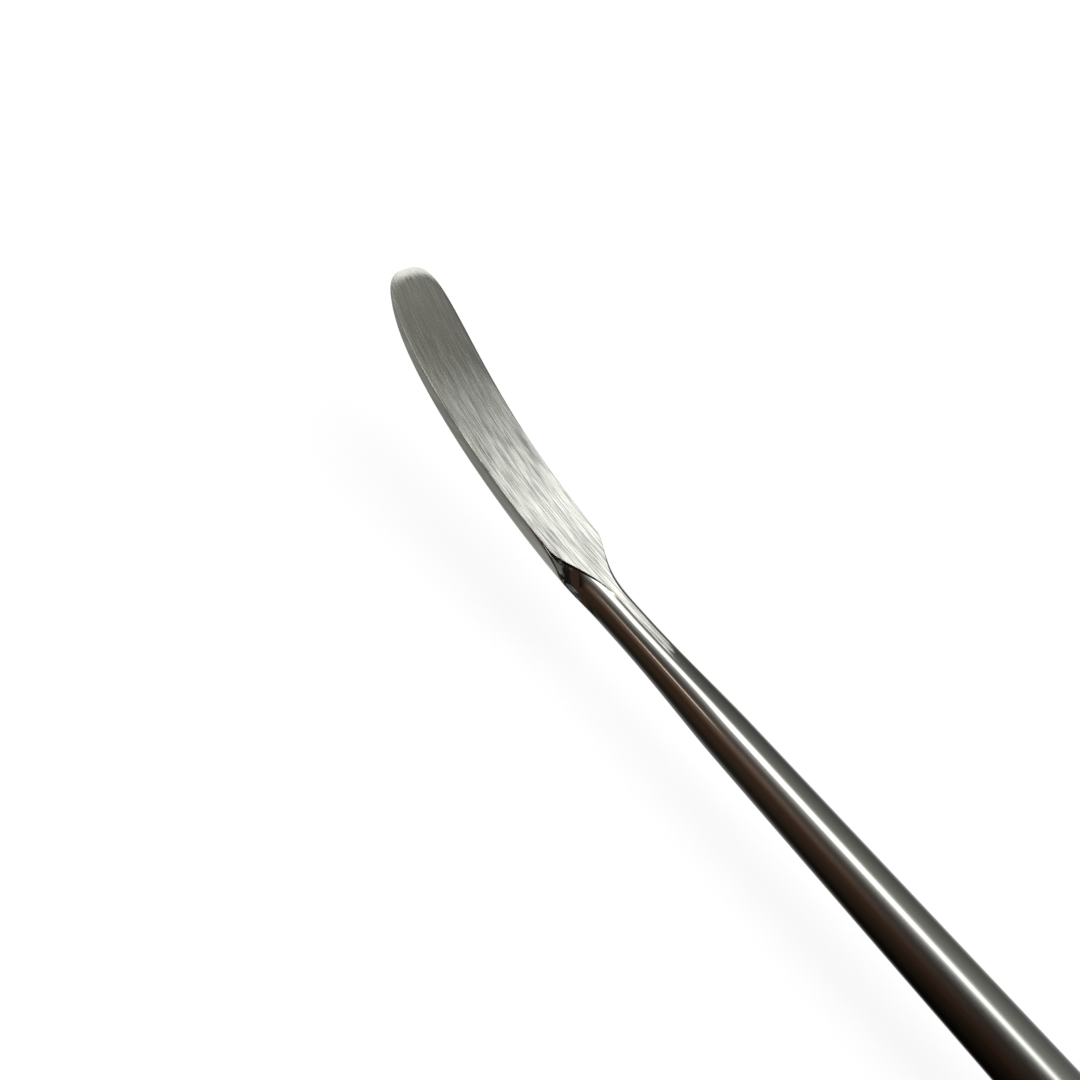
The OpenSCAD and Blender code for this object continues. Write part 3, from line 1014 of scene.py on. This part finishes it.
# Shades of the mats by the distance from the middle in mm: edge and rest of the near mat,
# near mat beside the blade, far mat
MAT_EDGE = [(-4, 0.52), (-1.9, 0.33), (0, 0.21), (1.4, 0.145), (2.4, 0.08), (3.4, 0.02), (6, 0.0)]
MAT_OUT = [
    (4, 0.008, 0.007, 0.005), (9, 0.028, 0.020, 0.012),
    (18, 0.042, 0.025, 0.016), (40, 0.045, 0.024, 0.015),
]
MAT_BESIDE_BLADE = [
    (5, 0.48, 0.48, 0.46), (9, 0.38, 0.38, 0.36),
    (12, 0.26, 0.26, 0.24), (24, 0.09, 0.09, 0.08),
]
FAR_MAT = [(-70, 0.22), (-36, 0.34), (-22, 0.52), (-12, 0.68), (-4, 0.84)]
# Where blade and handle start, in mm
blade_start = x_shoulders / MM
handle_start = x_nose / MM


def background_share(sheet):
    """1 for the rays that show the background: camera, glossy and transmission rays."""
    path = sheet.node("ShaderNodeLightPath").socket.node
    camera, glossy, through = (
        Value(sheet, path.outputs[name])
        for name in ("Is Camera Ray", "Is Glossy Ray", "Is Transmission Ray")
    )
    total = camera + glossy + through
    return total.maths("MINIMUM", total, 1.0)


def flat_rectangle(x_low, x_high, y_low, y_high, z):
    """Corners of a level rectangle."""
    return [(x_low, y_low, z), (x_high, y_low, z), (x_high, y_high, z), (x_low, y_high, z)]


def make_floor():
    """White table: it glows for the rays that show it, and takes light and shadow otherwise."""
    corners = flat_rectangle(-FLOOR_SIZE, FLOOR_SIZE, -FLOOR_SIZE, FLOOR_SIZE, 0)
    floor = mesh_piece("floor", corners, [(0, 1, 2, 3)], smooth=False)
    material, sheet, _ = material_sheet("floor_white")
    diffuse = sheet.node("ShaderNodeBsdfDiffuse", inputs={"Color": grey(0.95)})
    glow = sheet.node("ShaderNodeEmission", inputs={"Color": grey(1.0), "Strength": 1.0})
    seen = background_share(sheet) * FLOOR_GLOW
    sheet.finish(sheet.node("ShaderNodeMixShader", inputs={0: seen, 1: diffuse, 2: glow}))
    floor.data.materials.append(material)


def make_world():
    world = bpy.data.worlds.new("studio")
    bpy.context.scene.world = world
    world.use_nodes = True
    sheet = Sheet(world.node_tree)
    strength = WORLD_LIGHT + background_share(sheet) * (1 - WORLD_LIGHT)
    background = sheet.node("ShaderNodeBackground", inputs={
        "Color": grey(1.0), "Strength": strength,
    })
    sheet.node("ShaderNodeOutputWorld", inputs={"Surface": background})


def make_lamp(name, place, target, size, power, in_polish=False):
    """Area lamp: metal mirrors it, or matt surfaces are lit by it."""
    data = bpy.data.lights.new(name, "AREA")
    data.shape = "RECTANGLE"
    data.size, data.size_y = size
    data.energy = power
    lamp = bpy.data.objects.new(name, data)
    bpy.context.collection.objects.link(lamp)
    lamp.location = place
    lamp.rotation_euler = (Vector(target) - Vector(place)).to_track_quat("-Z", "Y").to_euler()
    lamp.visible_glossy = in_polish
    lamp.visible_diffuse = not in_polish
    lamp.visible_camera = False


def make_face_lamps():
    """Row of small soft boxes that the flat face mirrors: four at its foot, one at its tip."""
    away = FACE_LAMP_R * Vector((0, math.cos(FACE_LAMP_ANGLE), math.sin(FACE_LAMP_ANGLE)))
    for number, (start, end, level) in enumerate(FACE_LAMPS, 1):
        centre = Vector(((start + end) / 2 * MM, 0, axis_z + FACE_H))
        size = ((end - start) * MM, FACE_LAMP_WIDTH)
        power = FACE_LAMP_POWER * level * size[0] * size[1]
        make_lamp(f"face_lamp_{number}", centre + away, centre, size, power, True)


def make_card(name, paint, points, faces, shade_of, smooth=False):
    """A glowing card of the light tent: metal mirrors it, and nothing else sees it.

    Its shade is made from x, y and z in mm.
    """
    card = mesh_piece(name, points, faces, smooth)
    material, sheet, place = material_sheet(paint)
    shade = shade_of(sheet, *(distance / MM for distance in sheet.split(place)))
    sheet.finish(sheet.node("ShaderNodeEmission", inputs={"Color": shade, "Strength": 1.0}))
    card.data.materials.append(material)
    card.visible_camera = False
    card.visible_diffuse = False
    card.visible_shadow = False
    card.visible_transmission = False
    card.visible_volume_scatter = False


def brown_wall(sheet, x, angle):
    """The wall on the +Y side: darker towards the rear, with a paler band along its middle."""
    shade = sheet.ramp(angle, BROWN_WALL)
    ahead = sheet.step(x, 140, 160) * sheet.step(angle, 34, 42)
    shade = sheet.times(shade, sheet.blend(ahead, grey(1.0), grey(0.62)))
    pale = sheet.band(angle, 6, 20, 26, 44) * sheet.step(x, 60, 130)
    shade = sheet.plus(shade, sheet.times(pale, colour(0.050, 0.042, 0.036)))
    dim = sheet.blend(sheet.step(x, 30, 138), grey(0.14), grey(1.5))
    shade = sheet.times(shade, dim)
    line = sheet.band(angle, 25, 27, 27, 29.5) * sheet.step(x, 138, 156)
    return sheet.blend(line, shade, colour(2.0, 1.75, 1.45))


def grey_wall(sheet, x, angle):
    """The wall on the -Y side: paler towards the rear, and more even where the tip mirrors it."""
    along = sheet.blend(sheet.step(x, 46, 161), grey(1.25), grey(0.78))
    shade = sheet.times(sheet.ramp(angle, GREY_WALL), along)
    return sheet.blend(sheet.step(x, 5, 42), sheet.ramp(angle, TIP_WALL), shade)


def overhead_strip(sheet, x, angle):
    """Bright strip overhead with a faint tail on both sides; its edges are not quite straight."""
    near = angle - sheet.step(x, 20, 125, 21, 2.4)
    near = near - sheet.step(x, 140, 172, 0, 12)
    late = angle - sheet.step(x, 40, 100, 1, -1.3)
    late = late - sheet.step(x, 140, 165, 0, 4)
    tail = sheet.step(near, 46, 68) * sheet.step(late, 88, 104, 1, 0) * 0.30
    strip = sheet.step(near, 62, 69) * sheet.step(late, 84, 97, 1, 0)
    level = (tail + strip * 1.8) * sheet.step(x, -42, -26)
    return sheet.times(level, colour(1.0, 1.0, 0.96))


def arch_shade(sheet, x, y, z):
    """The walls and the strip overhead, and what is far in front and behind."""
    up = z - axis_z / MM
    angle = up.maths("ARCTAN2", up, y) * (180 / math.pi)
    walls = sheet.blend(
        sheet.step(angle, 76, 80), brown_wall(sheet, x, angle), grey_wall(sheet, x, angle)
    )
    shade = sheet.plus(walls, overhead_strip(sheet, x, angle))
    # The room behind the handle, which the heel mirrors, is dark: brown low down, grey above
    front = x + sheet.step(angle, 106, 124, 0, 64)
    room = sheet.step(x, -500, -380) * sheet.step(front, 12, 36, 1, 0)
    room = room * sheet.step(angle, 144, 158, 1, 0)
    above = sheet.blend(sheet.step(x, -100, -80), grey(0.009), grey(0.16))
    dark = sheet.blend(sheet.step(angle, 66, 84), colour(0.048, 0.027, 0.018), above)
    shade = sheet.blend(room, shade, dark)
    # Far behind the instrument the tunnel is paler, but for its lower part on the +Y side
    paler = sheet.step(x, -800, -520, 0.8, 0) * sheet.step(angle, 46, 60)
    return sheet.blend(paler, shade, grey(0.8))


def near_mat_shade(sheet, x, y, _z):
    """White edge under the bar, then black; grey beside the blade and beside the handle."""
    # The white edge is narrower and whiter where the bar is thick
    thin = sheet.step(x, 10, 46)
    shift = thin * (1 - thin) * 2.9 + (1 - thin) * 0.4 + 0.4
    from_edge = (y + shift) / (thin * 0.6 + 0.4)
    edge = sheet.ramp(from_edge, MAT_EDGE)
    edge = sheet.times(edge, sheet.blend(thin, grey(2.6), grey(1.0)))
    out = sheet.ramp(y, MAT_OUT)
    out = sheet.times(out, sheet.blend(sheet.step(x, 5, 52), grey(0.2), grey(1.0)))
    shade = sheet.plus(edge, out)
    blade = sheet.step(x - y * 0.35, blade_start - 5.5, blade_start - 2.5)
    blade = blade * sheet.step(y, 24, 44, 1, 0)
    # Beside the front half of the blade it is even and reaches further out
    front = sheet.step(x - y * 0.6, 62, 74)
    beside = sheet.blend(front, sheet.ramp(y, MAT_BESIDE_BLADE), colour(0.33, 0.33, 0.305))
    shade = sheet.blend(blade.maths("MAXIMUM", blade, front), shade, beside)
    handle = sheet.step(x, handle_start - 30, handle_start, 0.7, 0)
    handle = handle * sheet.step(y, 26, 48, 1, 0)
    return sheet.blend(handle, shade, grey(0.5))


def far_mat_shade(sheet, x, y, _z):
    """Grey, darker beside the tongue of the face, paler beside the handle."""
    shade = sheet.ramp(y, FAR_MAT)
    tongue = sheet.band(x + y * 0.3, 44, 50, 60, 66)
    shade = sheet.times(shade, sheet.blend(tongue, grey(1.0), grey(0.55)))
    handle = sheet.step(x, handle_start - 40, handle_start, 0.7, 0)
    handle = handle * sheet.step(y, -48, -26)
    shade = sheet.blend(handle, shade, grey(0.9))
    # Dark further out, where the scoop of the heel looks
    away = sheet.step(x, -20, 30, 1, 0) * sheet.step(y, -48, -26, 1, 0)
    return sheet.blend(away, shade, grey(0.012))


def make_tent():
    """Tunnel of cards over the instrument, and two mats on the table beside it."""
    angles = np.radians(np.linspace(-3, 183, 94))
    points = [
        (x, TENT_R * math.cos(a), axis_z + TENT_R * math.sin(a))
        for x in (TENT_REAR, TENT_FRONT) for a in angles
    ]
    n = len(angles)
    faces = [(i, i + 1, n + i + 1, n + i) for i in range(n - 1)]
    make_card("tent_arch", "tent_cards", points, faces, arch_shade, smooth=True)
    for name, paint, low, high, shade_of in (
        ("tent_mat", "tent_mat_card", TENT_MIDDLE, TENT_R, near_mat_shade),
        ("tent_far_mat", "tent_far_card", -TENT_R, TENT_MIDDLE, far_mat_shade),
    ):
        points = flat_rectangle(TENT_REAR, TENT_FRONT, low, high, MAT_LIFT)
        make_card(name, paint, points, [(0, 1, 2, 3)], shade_of)


def make_camera():
    data = bpy.data.cameras.new("camera")
    data.sensor_width = 36
    data.lens = 108.33
    data.clip_start = 0.01
    data.clip_end = 20
    camera = bpy.data.objects.new("camera", data)
    bpy.context.collection.objects.link(camera)
    right = Vector((-0.6339, -0.6571, 0.4079))
    up = Vector((0.7039, -0.2717, 0.6563))
    back = Vector((-0.3204, 0.7032, 0.6347))
    turn = Matrix((right, up, back)).transposed()
    place = Vector((-15.06 * MM, 176.73 * MM, 164.63 * MM))
    camera.matrix_world = Matrix.LocRotScale(place, turn.to_quaternion(), Vector((1, 1, 1)))
    bpy.context.scene.camera = camera


# ------------ putting it together

make_camera()
make_world()
make_floor()
make_tent()
make_lamp("key", KEY_PLACE, KEY_TARGET, KEY_SIZE, KEY_POWER)
make_face_lamps()

turning_tree = make_turning_tree()
finishes = {
    "blade_steel": blade_steel(),
    "handle_steel": handle_steel(),
    "polished_steel": turned_steel(),
    "fastener_steel": fastener_steel(),
    "seal_rubber": rubber("seal_rubber", (0.02, 0.02, 0.02), 0.40),
    "grip_silicone": rubber("grip_silicone", (0.045, 0.045, 0.05), 0.50),
    "marking_silicone": rubber("marking_silicone", (0.02, 0.13, 0.40), 0.45),
}
make_working_end()
make_handle_tube()
make_nose_ferrule()
make_end_cap()
for row in frame["record"]["subparts"]:
    name, slot = row["node"], row["material_slot"]
    if slot in RING_BEADS:
        make_soft_ring(name, slot, RING_BEADS[slot])
    elif slot in ("fastener_steel", "seal_rubber"):
        node = frame["nodes"][name]
        node.data.materials.clear()
        node.data.materials.append(finishes[slot])

bpy.context.scene.view_settings.view_transform = "Standard"
